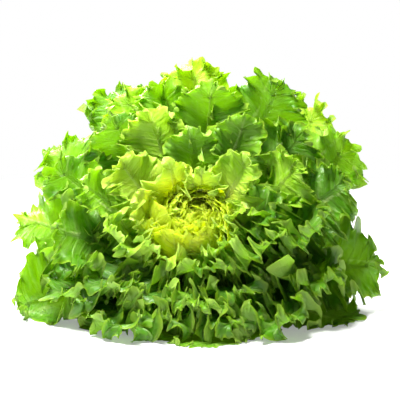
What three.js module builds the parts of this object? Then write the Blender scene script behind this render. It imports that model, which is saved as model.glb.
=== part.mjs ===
// A head of escarole (Cichorium endivia), cut at the crown and laid on its side on a table.
//
// The head is a rosette: leaves leave a short crown in a spiral, the oldest and longest outside, the
// youngest and smallest in the heart. Each leaf lies on a cone of its own about the axis of the head,
// and the cones nest in each other from the outside in, so leaves overlap without touching.
// The head rests on the cut crown and on its lowest leaves, which the table bends up and forward.
//
// Millimetres, +Z up, origin on the table under the middle of the head. The heart looks towards -Y and up.

import * as THREE from "three";

const DEG = Math.PI / 180;

// ---- Driving dimensions ----

const AXIS_RISE = 43 * DEG; // the axis of the head above the table
const CROWN_HEIGHT = 39; // the middle of the crown above the table
const GOLDEN_ANGLE = 137.508 * DEG; // from one leaf to the next, round the axis
const FIRST_LEAF_TURN = 205 * DEG; // the oldest leaf, clockwise from straight up

const OUTER_REACH = 174; // from the crown to the tip of the oldest leaf
const HEART_REACH = 66; // the same for the youngest
const OUTER_SPREAD = 87 * DEG; // between the axis and the oldest leaf
const HEART_SPREAD = 7 * DEG;
const OUTER_CONE_START = -18; // up the axis from the middle of the crown
const HEART_CONE_START = 22;
const OUTER_ARCH = 0.14; // old leaves arch outwards
const HEART_ARCH = -0.45; // young ones close over the heart
const TOP_CLOSING = 0.12; // how much further the leaves above the heart are closed
const SHOULDER_TURN = 10 * DEG; // where the leaves are longest, clockwise from straight up
const SHOULDER_GROWTH = 0.2; // how much longer they are there
const TURN_VARIATION = 6 * DEG; // how far an old leaf strays from its place in the spiral
const REACH_VARIATION = 0.055; // share by which leaves of one age differ in length
const WIDTH_VARIATION = 0.08; // the same for their width
const REACH_TRAIT = 272; // any other numbers give another head of the same kind
const WIDTH_TRAIT = 145;
const TURN_TRAIT = 397;
const FIRST_LEAF_HEIGHT = 2; // of the middle of the oldest leaf over the table it lies on
const SIDE_LEAF_HEIGHT = -3; // the same for its cone beside it, where the next leaves lie
const TABLE_BEND = 18 * DEG; // over which the table takes up the spread of the lower leaves
const OUTER_HALF_WIDTH = 48;
const HEART_HALF_WIDTH = 16;
const OUTER_STALK_HALF_WIDTH = 11;
const HEART_STALK_HALF_WIDTH = 4.5;

const OUTER_STALK_START = 26; // from the start of a leaf's cone to the foot of its stalk
const HEART_STALK_START = 8;
const OUTER_TIGHTEST_TURN = 20; // the tightest radius at which a blade wraps round the axis
const HEART_TIGHTEST_TURN = 14;

const FRILL_LENGTH = 46; // one wave of a margin
const FRILL_TURNS = 8; // waves round the head
const OUTER_FRILL_HEIGHT = 7; // height of the waves of a margin
const HEART_FRILL_HEIGHT = 2;
const BROAD_WAVE = 7; // height of the long waves that all leaves share, at the oldest tip
const NARROW_WAVE = 3.5;

const BLADE_THICKNESS = 1.1;
const OUTER_STALK_THICKNESS = 4;
const HEART_STALK_THICKNESS = 1.6;
const WIDEST_AT = 0.64; // share of the length at which the blade is widest

const CUT_RADIUS = 21; // the cut face of the crown, whose rim rests on the table
const CUT_DEPTH = (CROWN_HEIGHT - CUT_RADIUS * Math.cos(AXIS_RISE)) / Math.sin(AXIS_RISE);
const FIT_GAP = 0.5; // between the crown and each stalk

// Each group of leaves, from the outside in, and the segments of one blade.
const LEAF_GROUPS = [
  { name: "outer_leaf", count: 20, across: 6, along: 9, colour: 0x5f9a1c },
  { name: "middle_leaf", count: 20, across: 6, along: 7, colour: 0x84bb30 },
  { name: "heart_leaf", count: 15, across: 4, along: 6, colour: 0xd2dc62 },
];
const LEAF_COUNT = LEAF_GROUPS.reduce((sum, group) => sum + group.count, 0);

// ---- The frame of the head: out along the axis, up the open face, and to the right ----

const AXIS = new THREE.Vector3(0, -Math.cos(AXIS_RISE), Math.sin(AXIS_RISE));
const UP = new THREE.Vector3(0, Math.sin(AXIS_RISE), Math.cos(AXIS_RISE));
const RIGHT = new THREE.Vector3(1, 0, 0);

const { lerp, clamp, smoothstep } = THREE.MathUtils;

// The smaller of two values, with the corner between them rounded over a width.
function roundedMin(a, b, width) {
  const overlap = Math.max(width - Math.abs(a - b), 0) / width;
  return Math.min(a, b) - (overlap * overlap * width) / 4;
}

// A fixed number between -1 and 1 for one leaf and one of its traits.
function variation(leaf, trait) {
  const wave = Math.sin(leaf * 12.9898 + trait * 78.233) * 43758.5453;
  return 2 * (wave - Math.floor(wave)) - 1;
}

// ---- The nested cones. Age is 0 for the oldest leaf and 1 for the youngest ----

// How far up the axis the cone of a leaf starts.
const coneStart = (age) => lerp(OUTER_CONE_START, HEART_CONE_START, age);

// The angle between the axis and the cone, at a distance from its start, before the table bends it.
function freeSpread(age, distance) {
  const atTip = lerp(HEART_SPREAD, OUTER_SPREAD, Math.pow(1 - age, 0.75));
  const arch = lerp(OUTER_ARCH, HEART_ARCH, age);
  return atTip * (1 - arch * (1 - distance / OUTER_REACH));
}

// All leaves share this long wave, which grows away from the crown, as an angle.
function sharedWave(distance, turn) {
  const growth = smoothstep(distance, 40, OUTER_REACH);
  const broad = BROAD_WAVE * Math.sin(7 * turn + 0.02 * distance + 0.6);
  const narrow = NARROW_WAVE * Math.sin(16 * turn - 0.035 * distance + 2.1);
  return (growth * (broad + narrow)) / distance;
}

// The height of the oldest cone where it lies on the table. It comes down on both sides of the first
// leaf, so that the leaves beside that one reach the table too.
function bedHeight(turn) {
  const away = Math.acos(Math.cos(turn - FIRST_LEAF_TURN));
  return lerp(FIRST_LEAF_HEIGHT, SIDE_LEAF_HEIGHT, smoothstep(away, 22 * DEG, 50 * DEG));
}

// The angle at which the oldest cone comes down to the table.
function tableSpread(distance, turn) {
  const drop = Math.cos(turn) * Math.cos(AXIS_RISE);
  const steepest = Math.hypot(Math.sin(AXIS_RISE), drop);
  const startHeight = CROWN_HEIGHT + coneStart(0) * Math.sin(AXIS_RISE);
  const share = (bedHeight(turn) - startHeight) / (distance * steepest);
  return Math.atan2(drop, Math.sin(AXIS_RISE)) + Math.acos(clamp(share, -1, 1));
}

// The share of its free angle that a cone has at a place: leaves above the heart stand up more, and
// the table bends the ones below.
function shareOfSpread(distance, turn) {
  const oldest = freeSpread(0, distance) + sharedWave(distance, turn);
  const upright = 1 - TOP_CLOSING * Math.pow(Math.max(Math.cos(turn), 0), 1.5);
  return roundedMin(oldest * upright, tableSpread(distance, turn), TABLE_BEND) / oldest;
}

// The angle of a leaf's cone where it is.
function spread(age, distance, turn) {
  const wave = sharedWave(distance, turn) * (1 - 0.6 * age);
  return (freeSpread(age, distance) + wave) * shareOfSpread(distance, turn);
}

// The point at a distance along a leaf and aside from its midrib. A frilled one rises and falls about
// its cone, in step with the leaves next to it.
function headPoint(leaf, distance, aside, frill) {
  const straight = spread(leaf.age, distance, leaf.turn);
  const radius = Math.max(distance * Math.sin(straight), leaf.tightest);
  const turn = leaf.turn + aside / radius;
  const rise = frill * Math.sin((2 * Math.PI * distance) / FRILL_LENGTH + FRILL_TURNS * turn);
  const room = Math.pow(shareOfSpread(distance, turn), 2);
  const angle = spread(leaf.age, distance, turn) - (rise * room) / distance;
  const outwards = new THREE.Vector3()
    .addScaledVector(UP, Math.cos(turn))
    .addScaledVector(RIGHT, Math.sin(turn));
  return new THREE.Vector3(0, 0, CROWN_HEIGHT)
    .addScaledVector(AXIS, coneStart(leaf.age) + distance * Math.cos(angle))
    .addScaledVector(outwards, distance * Math.sin(angle));
}

// ---- Leaves ----

function describeLeaf(index) {
  const age = index / (LEAF_COUNT - 1);
  const size = Math.pow(1 - age, 0.6);
  const stray = TURN_VARIATION * (1 - age) * variation(index, TURN_TRAIT);
  const turn = FIRST_LEAF_TURN + index * GOLDEN_ANGLE + stray;
  const shoulder = SHOULDER_GROWTH * Math.cos(turn - SHOULDER_TURN);
  const growth = 1 + shoulder + REACH_VARIATION * variation(index, REACH_TRAIT);
  const fullness = 1 + WIDTH_VARIATION * variation(index, WIDTH_TRAIT);
  return {
    age,
    turn,
    stalkStart: lerp(HEART_STALK_START, OUTER_STALK_START, 1 - age),
    reach: lerp(HEART_REACH, OUTER_REACH, size) * growth,
    halfWidth: lerp(HEART_HALF_WIDTH, OUTER_HALF_WIDTH, size) * fullness,
    stalkHalfWidth: lerp(HEART_STALK_HALF_WIDTH, OUTER_STALK_HALF_WIDTH, 1 - age),
    stalkThickness: lerp(HEART_STALK_THICKNESS, OUTER_STALK_THICKNESS, 1 - age),
    frill: lerp(HEART_FRILL_HEIGHT, OUTER_FRILL_HEIGHT, 1 - age),
    tightest: lerp(HEART_TIGHTEST_TURN, OUTER_TIGHTEST_TURN, 1 - age),
  };
}

// Half the width of a blade at a share of its length: a stalk, a long shoulder and a round tip.
function bladeHalfWidth(leaf, share) {
  const below = share < WIDEST_AT;
  const offset = below ? 1 - share / WIDEST_AT : (share - WIDEST_AT) / (1 - WIDEST_AT);
  const fullness = below ? 1.2 : 0.5;
  const blade = leaf.halfWidth * Math.pow(Math.max(1 - offset * offset, 0), fullness);
  return Math.max(blade, leaf.stalkHalfWidth);
}

// The place of a leaf's middle surface, at a share of its width to either side and of its length.
function leafPoint(leaf, across, along) {
  const share = along * 0.96; // the outline stops short of its very tip, which is left blunt
  const side = Math.abs(across);
  const margin = Math.pow(side, 1.5);
  const swept = 0.07 * side * Math.sin(Math.PI * Math.min(along * 1.15, 1)) - 0.03 * along * side * side;
  const reached = share + 0.04 * along + swept * smoothstep(along, 0, 0.5);
  const distance = lerp(leaf.stalkStart, leaf.reach, reached);
  const aside = across * bladeHalfWidth(leaf, share);
  const frill = leaf.frill * margin * smoothstep(along, 0.15, 0.6);
  return headPoint(leaf, distance, aside, frill);
}

// The place on one face of a leaf: side is 0.5 on the face towards the axis and -0.5 on the other.
function facePoint(leaf, across, along, side) {
  const step = 0.01;
  const acrossWay = leafPoint(leaf, across + step, along).sub(leafPoint(leaf, across - step, along));
  const alongWay = leafPoint(leaf, across, along + step).sub(leafPoint(leaf, across, along - step));
  const normal = acrossWay.cross(alongWay).normalize();
  const rib = Math.pow(1 - Math.abs(across), 2) * Math.pow(1 - along, 1.2);
  const thickness = lerp(BLADE_THICKNESS, leaf.stalkThickness, rib);
  const point = leafPoint(leaf, across, along).addScaledVector(normal, side * thickness);
  point.z = Math.max(point.z, side > 0 ? BLADE_THICKNESS : 0); // pressed flat by the table
  return point;
}

// A leaf is two faces of the same triangles, and a wall round their edge.
function leafGeometry(leaf, group) {
  const columns = group.across + 1;
  const rows = group.along + 1;
  const points = [];
  for (const side of [-0.5, 0.5]) {
    for (let row = 0; row < rows; row++) {
      for (let column = 0; column < columns; column++) {
        points.push(facePoint(leaf, (2 * column) / group.across - 1, row / group.along, side));
      }
    }
  }
  const outer = (row, column) => row * columns + column;
  const inner = (row, column) => columns * rows + outer(row, column);
  const indices = [];
  for (let row = 0; row < group.along; row++) {
    for (let column = 0; column < group.across; column++) {
      const cell = [
        [row, column],
        [row, column + 1],
        [row + 1, column + 1],
        [row + 1, column],
      ];
      const [a, b, c, d] = cell.map(([y, x]) => inner(y, x));
      const [e, f, g, h] = cell.map(([y, x]) => outer(y, x));
      indices.push(a, b, d, b, c, d, e, h, f, f, h, g);
    }
  }
  const edge = [];
  for (let column = 0; column < group.across; column++) edge.push([0, column]);
  for (let row = 0; row < group.along; row++) edge.push([row, group.across]);
  for (let column = group.across; column > 0; column--) edge.push([group.along, column]);
  for (let row = group.along; row > 0; row--) edge.push([row, 0]);
  edge.forEach(([row, column], number) => {
    const [nextRow, nextColumn] = edge[(number + 1) % edge.length];
    const wall = [outer(row, column), outer(nextRow, nextColumn)];
    const top = [inner(row, column), inner(nextRow, nextColumn)];
    indices.push(wall[0], wall[1], top[1], wall[0], top[1], top[0]);
  });
  return new THREE.BufferGeometry().setFromPoints(points).setIndex(indices);
}

// ---- The crown: a cut, tapered stem that the stalks stand on ----

function crownGeometry() {
  const profile = [new THREE.Vector2(0, -CUT_DEPTH), new THREE.Vector2(CUT_RADIUS, -CUT_DEPTH)];
  const steps = 8;
  for (let step = 0; step <= steps; step++) {
    const leaf = describeLeaf((step / steps) * (LEAF_COUNT - 1));
    const angle = freeSpread(leaf.age, leaf.stalkStart);
    const foot = leaf.stalkStart - FIT_GAP - 1;
    profile.push(new THREE.Vector2(foot * Math.sin(angle), coneStart(leaf.age) + foot * Math.cos(angle)));
  }
  const top = profile[profile.length - 1];
  profile.push(new THREE.Vector2(0, top.y + 0.5 * top.x));
  return new THREE.LatheGeometry(profile, 28);
}

// ---- Assembly ----

const head = new THREE.Group();

function addMesh(name, geometry, colour, roughness) {
  const material = new THREE.MeshStandardMaterial({ color: colour, roughness, metalness: 0 });
  const mesh = new THREE.Mesh(geometry, material);
  mesh.name = name;
  head.add(mesh);
  return mesh;
}

const crown = addMesh("crown", crownGeometry(), 0xe6e2b8, 0.7);
crown.position.set(0, 0, CROWN_HEIGHT);
crown.quaternion.setFromUnitVectors(new THREE.Vector3(0, 1, 0), AXIS);

let next = 0;
for (const group of LEAF_GROUPS) {
  for (let number = 1; number <= group.count; number++) {
    const leaf = describeLeaf(next++);
    const name = `${group.name}_${String(number).padStart(2, "0")}`;
    addMesh(name, leafGeometry(leaf, group), group.colour, 0.45);
  }
}

const bounds = new THREE.Box3().setFromObject(head, true);
const centre = bounds.getCenter(new THREE.Vector3());
head.position.set(-centre.x, -centre.y, -bounds.min.z);

export default head;
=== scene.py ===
"""A head of escarole lying on its side: frilled leaves round a cut crown, on a plain white table.

Run it as a script. Each group of pieces has an operator of its own, and the sidebar panel lists them.
"""

import math

import bpy
import numpy as np
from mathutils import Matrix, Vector


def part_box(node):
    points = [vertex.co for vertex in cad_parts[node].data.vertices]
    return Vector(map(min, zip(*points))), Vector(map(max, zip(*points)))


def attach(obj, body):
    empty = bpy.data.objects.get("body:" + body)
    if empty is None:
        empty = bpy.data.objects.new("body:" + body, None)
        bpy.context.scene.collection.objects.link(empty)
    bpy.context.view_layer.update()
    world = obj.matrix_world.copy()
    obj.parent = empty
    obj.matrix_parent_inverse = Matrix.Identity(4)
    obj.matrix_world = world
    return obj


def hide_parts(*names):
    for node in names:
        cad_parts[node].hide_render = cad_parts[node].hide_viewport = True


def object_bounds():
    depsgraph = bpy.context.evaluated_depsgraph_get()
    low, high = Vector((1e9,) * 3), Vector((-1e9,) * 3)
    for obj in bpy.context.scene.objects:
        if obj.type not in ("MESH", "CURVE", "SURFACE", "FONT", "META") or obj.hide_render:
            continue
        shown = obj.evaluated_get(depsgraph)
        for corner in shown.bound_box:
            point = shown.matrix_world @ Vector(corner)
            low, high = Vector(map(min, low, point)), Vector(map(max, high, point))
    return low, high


bl_info = {
    "name": "Head of escarole",
    "version": (1, 0, 0),
    "blender": (4, 5, 0),
    "location": "View3D > Sidebar > Escarole",
    "description": "Builds the leaves, crown and stage of a head of escarole",
    "category": "Object",
}

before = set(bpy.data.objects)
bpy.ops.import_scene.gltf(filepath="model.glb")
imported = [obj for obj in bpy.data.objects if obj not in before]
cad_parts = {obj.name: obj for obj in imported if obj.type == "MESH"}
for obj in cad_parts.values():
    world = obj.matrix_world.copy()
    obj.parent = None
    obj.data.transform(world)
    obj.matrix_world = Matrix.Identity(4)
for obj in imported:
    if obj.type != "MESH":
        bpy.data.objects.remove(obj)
cad_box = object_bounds()

# ---- The frame of the head, as the solids have it, in metres ----

AXIS_RISE = math.radians(43)  # the axis of the head above the table
CROWN_HEIGHT = 0.039  # the middle of the crown above the table
GOLDEN_ANGLE = math.radians(137.508)  # from one leaf to the next, round the axis
FIRST_LEAF_TURN = math.radians(205)  # the oldest leaf, clockwise from straight up

OUTER_REACH = 0.174  # from the crown to the tip of the oldest leaf
HEART_REACH = 0.066  # the same for the youngest
OUTER_SPREAD = math.radians(87)  # between the axis and the oldest leaf
HEART_SPREAD = math.radians(7)
OUTER_CONE_START = -0.018  # up the axis from the middle of the crown
HEART_CONE_START = 0.022
OUTER_ARCH = 0.14  # old leaves arch outwards
HEART_ARCH = -0.45  # young ones close over the heart
TOP_CLOSING = 0.12  # how much further the leaves above the heart are closed
SHOULDER_TURN = math.radians(10)  # where the leaves are longest, clockwise from straight up
SHOULDER_GROWTH = 0.2  # how much longer they are there
TURN_VARIATION = math.radians(6)  # how far an old leaf strays from its place in the spiral
REACH_VARIATION = 0.055  # share by which leaves of one age differ in length
WIDTH_VARIATION = 0.08  # the same for their width
REACH_TRAIT = 272
WIDTH_TRAIT = 145
TURN_TRAIT = 397
FIRST_LEAF_HEIGHT = 0.002  # of the middle of the oldest leaf over the table
SIDE_LEAF_HEIGHT = -0.003  # the same for its cone beside it
TABLE_BEND = math.radians(18)  # over which the table takes up the spread of the lower leaves
OUTER_HALF_WIDTH = 0.048
HEART_HALF_WIDTH = 0.016
OUTER_STALK_HALF_WIDTH = 0.011
HEART_STALK_HALF_WIDTH = 0.0045
OUTER_STALK_START = 0.026  # from the start of a leaf's cone to the foot of its stalk
HEART_STALK_START = 0.008
OUTER_TIGHTEST_TURN = 0.020  # the tightest radius at which a blade wraps round the axis
HEART_TIGHTEST_TURN = 0.014
FRILL_LENGTH = 0.046  # one wave of a margin
FRILL_TURNS = 8  # waves round the head
OUTER_FRILL_HEIGHT = 0.007
HEART_FRILL_HEIGHT = 0.002
BROAD_WAVE = 0.007  # height of the long waves that all leaves share, at the oldest tip
NARROW_WAVE = 0.0035
WIDEST_AT = 0.64  # share of the length at which the blade is widest
CUT_RADIUS = 0.021  # the cut face of the crown, whose rim rests on the table
CUT_DEPTH = (CROWN_HEIGHT - CUT_RADIUS * math.cos(AXIS_RISE)) / math.sin(AXIS_RISE)

LEAF_GROUPS = {"outer_leaf": 20, "middle_leaf": 20, "heart_leaf": 15}
LEAF_COUNT = sum(LEAF_GROUPS.values())

# Traits in which frilled leaves differ. Any other numbers give other leaves of the same kind.
LEAN_TRAIT = 5
FOLD_TRAIT = 6
TONE_TRAIT = 8
CALM_TRAIT = 9
SWAY_TRAIT = 11
TWIST_TRAIT = 12
SIDE_LEAN_TRAIT = 13

AXIS = np.array([0.0, -math.cos(AXIS_RISE), math.sin(AXIS_RISE)])
UP = np.array([0.0, math.sin(AXIS_RISE), math.cos(AXIS_RISE)])
RIGHT = np.array([1.0, 0.0, 0.0])


def crown_centre():
    """The middle of the crown, worked out from the box of its solid."""
    low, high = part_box("crown")
    back = CUT_DEPTH * math.cos(AXIS_RISE) + CUT_RADIUS * math.sin(AXIS_RISE)
    return np.array([(low.x + high.x) / 2, high.y - back, low.z + CROWN_HEIGHT])


def lerp(start, end, share):
    return start + (end - start) * share


def smoothstep(value, low, high):
    share = np.clip((value - low) / (high - low), 0, 1)
    return share * share * (3 - 2 * share)


def rounded_min(a, b, width):
    """The smaller of two values, rounded over a width where they cross."""
    overlap = np.maximum(width - np.abs(a - b), 0) / width
    return np.minimum(a, b) - overlap * overlap * width / 4


def variation(leaf, trait):
    """A fixed number between -1 and 1 for one leaf and one of its traits."""
    wave = math.sin(leaf * 12.9898 + trait * 78.233) * 43758.5453
    return 2 * (wave - math.floor(wave)) - 1


# ---- The nested cones that the leaves lie on. Age is 0 for the oldest leaf and 1 for the youngest ----


def cone_start(age):
    """Where on the axis the cone of a leaf starts."""
    return lerp(OUTER_CONE_START, HEART_CONE_START, age)


def free_spread(age, distance):
    """The angle between the axis and a leaf that nothing presses on."""
    at_tip = lerp(HEART_SPREAD, OUTER_SPREAD, (1 - age) ** 0.75)
    arch = lerp(OUTER_ARCH, HEART_ARCH, age)
    return at_tip * (1 - arch * (1 - distance / OUTER_REACH))


def shared_wave(distance, turn):
    """The long waves that lie in all leaves alike, as an angle."""
    growth = smoothstep(distance, 0.04, OUTER_REACH)
    broad = BROAD_WAVE * np.sin(7 * turn + 20 * distance + 0.6)
    narrow = NARROW_WAVE * np.sin(16 * turn - 35 * distance + 2.1)
    return growth * (broad + narrow) / distance


def bed_height(turn):
    """How high over the table the lowest leaves lie."""
    away = np.arccos(np.cos(turn - FIRST_LEAF_TURN))
    beside = smoothstep(away, math.radians(22), math.radians(50))
    return lerp(FIRST_LEAF_HEIGHT, SIDE_LEAF_HEIGHT, beside)


def table_spread(distance, turn):
    """The angle between the axis and a leaf that lies along the table."""
    drop = np.cos(turn) * math.cos(AXIS_RISE)
    steepest = np.hypot(math.sin(AXIS_RISE), drop)
    start_height = CROWN_HEIGHT + cone_start(0) * math.sin(AXIS_RISE)
    share = (bed_height(turn) - start_height) / (distance * steepest)
    return np.arctan2(drop, math.sin(AXIS_RISE)) + np.arccos(np.clip(share, -1, 1))


def share_of_spread(distance, turn):
    """How much of its free spread a leaf keeps, over the table and at the top of the head."""
    oldest = free_spread(0, distance) + shared_wave(distance, turn)
    upright = 1 - TOP_CLOSING * np.maximum(np.cos(turn), 0) ** 1.5
    return rounded_min(oldest * upright, table_spread(distance, turn), TABLE_BEND) / oldest


def spread(age, distance, turn):
    """The angle between the axis and a leaf, at a distance from the start of its cone."""
    wave = shared_wave(distance, turn) * (1 - 0.6 * age)
    return (free_spread(age, distance) + wave) * share_of_spread(distance, turn)


# ---- Leaves as sheets ----


class Leaf:
    """The sizes of one leaf, by its place in the spiral, as the solids have them."""

    def __init__(self, index):
        self.index = index
        self.age = index / (LEAF_COUNT - 1)
        size = (1 - self.age) ** 0.6
        stray = TURN_VARIATION * (1 - self.age) * variation(index, TURN_TRAIT)
        self.turn = FIRST_LEAF_TURN + index * GOLDEN_ANGLE + stray
        shoulder = SHOULDER_GROWTH * math.cos(self.turn - SHOULDER_TURN)
        growth = 1 + shoulder + REACH_VARIATION * variation(index, REACH_TRAIT)
        self.stalk_start = lerp(HEART_STALK_START, OUTER_STALK_START, 1 - self.age)
        self.reach = lerp(HEART_REACH, OUTER_REACH, size) * growth
        self.length = self.reach - self.stalk_start
        fullness = 1 + WIDTH_VARIATION * variation(index, WIDTH_TRAIT)
        self.half_width = lerp(HEART_HALF_WIDTH, OUTER_HALF_WIDTH, size) * fullness
        self.stalk_half_width = lerp(HEART_STALK_HALF_WIDTH, OUTER_STALK_HALF_WIDTH, 1 - self.age)
        self.frill = lerp(HEART_FRILL_HEIGHT, OUTER_FRILL_HEIGHT, 1 - self.age)
        self.tightest = lerp(HEART_TIGHTEST_TURN, OUTER_TIGHTEST_TURN, 1 - self.age)


def blade_half_width(leaf, share):
    """Half the width of a leaf at a share of its length, with no teeth or lobes."""
    below = share < WIDEST_AT
    offset = np.where(below, 1 - share / WIDEST_AT, (share - WIDEST_AT) / (1 - WIDEST_AT))
    fullness = np.where(below, 1.2, 0.5)
    blade = leaf.half_width * np.maximum(1 - offset * offset, 0) ** fullness
    stalk = leaf.stalk_half_width * np.where(share < 0.9, 1, np.maximum(1 - share, 0) / 0.1)
    return np.maximum(blade, stalk)


OUTLINE_STEPS = 600
STALK_COLUMNS = 0.1  # share of the columns that lie on the first part of a margin
STALK_MARGIN = 0.24  # how much of the margin that part is

# Ruffles of four sizes: lengths and bends as shares of those of the widest, and the finest in metres.
NARROW_LENGTH = 0.45
FINE_LENGTH = 0.2
CRIMP_LENGTH = 0.003
NARROW_BEND = 0.95
FINE_BEND = 0.95
CRIMP_BEND = 0.7
MOST_BEND = 2.2
MOST_BEND_BACK = 1.8
MOST_STRETCH = 1.6  # by which a ruffled margin is drawn out again


def wander(rng, arc, length):
    """A smooth random line along an arc, between -1 and 1, with a new height about every length."""
    place = (arc - arc.min()) / length + 1
    heights = rng.uniform(-1, 1, int(place.max()) + 3)
    step = place.astype(int)
    return lerp(heights[step], heights[step + 1], smoothstep(place - step, 0, 1))


def ruffle_phase(rng, arc, length):
    """The phase of a wave along a margin. The length of the wave wanders."""
    pace = 1 / (length * (1 + 0.35 * wander(rng, arc, 1.3 * length)))
    return 2 * math.pi * (np.cumsum(pace * np.gradient(arc)) + rng.uniform())


def tooth_line(rng, arc, length, width):
    """How far a margin stands out in pointed teeth that lean towards the tip."""
    edges = np.cumsum(width * rng.uniform(0.6, 1.5, int(arc.max() / (0.6 * width)) + 2))
    edges = np.concatenate([[0], edges])
    tooth = np.searchsorted(edges, arc, side="right") - 1
    place = (arc - edges[tooth]) / (edges[tooth + 1] - edges[tooth])
    tall = length * rng.uniform(0.3, 1.2, len(edges))[tooth]
    return tall * np.minimum(place / 0.6, (1 - place) / 0.4)


class Margin:
    """Both margins of a leaf in one walk, from the foot on the left round the tip to the foot on the right,
    with the side vein that ends at each step."""

    def __init__(self, leaf, columns):
        share = np.linspace(0, 1, OUTLINE_STEPS)
        outline = np.stack([blade_half_width(leaf, share), share * leaf.length])
        walked = np.concatenate([[0], np.cumsum(np.hypot(*np.diff(outline)))])
        # One margin, with the columns furthest apart on its first part.
        far = np.interp(np.linspace(0, 1, columns + 1), [0, STALK_COLUMNS, 1], [0, STALK_MARGIN, 1])
        even = walked[-1] * far
        x, y = (np.interp(even, walked, line) for line in outline)
        far = even / walked[-1]
        # Where the vein to each column leaves the midrib: lower than it ends, and always further up.
        foot = y - 0.8 * np.maximum(x - leaf.stalk_half_width, 0)
        foot = np.maximum.accumulate(np.minimum(foot, leaf.length * (1 - 0.16 * far**4)))
        foot += 1e-4 * leaf.length * np.arange(columns + 1) / columns

        # Both margins.
        column = np.arange(2 * columns + 1)
        half = np.minimum(column, 2 * columns - column)
        self.side = np.where(column < columns, -1.0, 1.0)
        self.tipward = np.sign(columns - column)
        self.far = far[half]
        self.arc = np.where(column <= columns, even[half], 2 * even[-1] - even[half])
        self.midrib = np.stack([np.zeros(len(column)), foot[half]], -1)
        margin = np.stack([self.side * x[half], y[half]], -1)
        ahead = np.gradient(margin, axis=0)
        self.ahead = ahead / np.linalg.norm(ahead, axis=1, keepdims=True)
        vein = margin - self.midrib
        self.vein_length = np.linalg.norm(vein, axis=1)
        self.outward = vein / self.vein_length[:, None]
        self.blade = smoothstep(y[half] / leaf.length, 0.08, 0.4)


class Ruffles:
    """How far the side veins of a leaf bend by the time they reach its margin, in ruffles of four sizes."""

    def __init__(self, leaf, settings, rng, margin):
        arc = margin.arc
        old = 1 - leaf.age
        self.low = max(-math.cos(leaf.turn), 0) * old
        # Ruffles are longer and flatter on the calm side of the head, and differ from leaf to leaf.
        calm = lerp(variation(leaf.index, CALM_TRAIT), math.cos(leaf.turn - settings.calm_turn), 0.6)
        length = lerp(settings.heart_ruffle_length, settings.outer_ruffle_length, old)
        length *= 1 + 0.4 * calm
        self.length = length
        self.phase = ruffle_phase(rng, arc, length)
        narrow = ruffle_phase(rng, arc, NARROW_LENGTH * length)
        fine = ruffle_phase(rng, arc, FINE_LENGTH * length)
        turn_up = settings.ruffle_bend * (1.1 - 0.2 * calm + 0.2 * self.low) * lerp(0.75, 1, old)
        crests = np.tanh(1.8 * np.sin(self.phase)) * (1 + 0.35 * wander(rng, arc, length))
        self.wide = turn_up * (crests + settings.cup)
        narrow_crests = NARROW_BEND * turn_up * np.tanh(1.5 * np.sin(narrow))
        self.narrow = narrow_crests * (1 + 0.5 * wander(rng, arc, 0.6 * length))
        self.fine = FINE_BEND * turn_up * np.sin(fine) * (1 + 0.7 * wander(rng, arc, 0.5 * length))
        self.crimp = CRIMP_BEND * turn_up * wander(rng, arc, CRIMP_LENGTH)
        lean = variation(leaf.index, LEAN_TRAIT) + margin.side * variation(leaf.index, SIDE_LEAN_TRAIT)
        self.lean = settings.lean_in * lean * old

    def bend(self, out):
        """The bend at a share of the way out along the veins. Small ruffles keep to the margin."""
        bend = self.lean * smoothstep(out, 0, 0.7) + self.wide * out ** lerp(2.2, 1.4, self.low)
        bend = bend + self.narrow * smoothstep(out, 0.5, 0.95)
        bend = bend + self.fine * smoothstep(out, 0.65, 1) + self.crimp * smoothstep(out, 0.5, 1)
        return np.clip(bend, -MOST_BEND_BACK, MOST_BEND)


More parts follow.
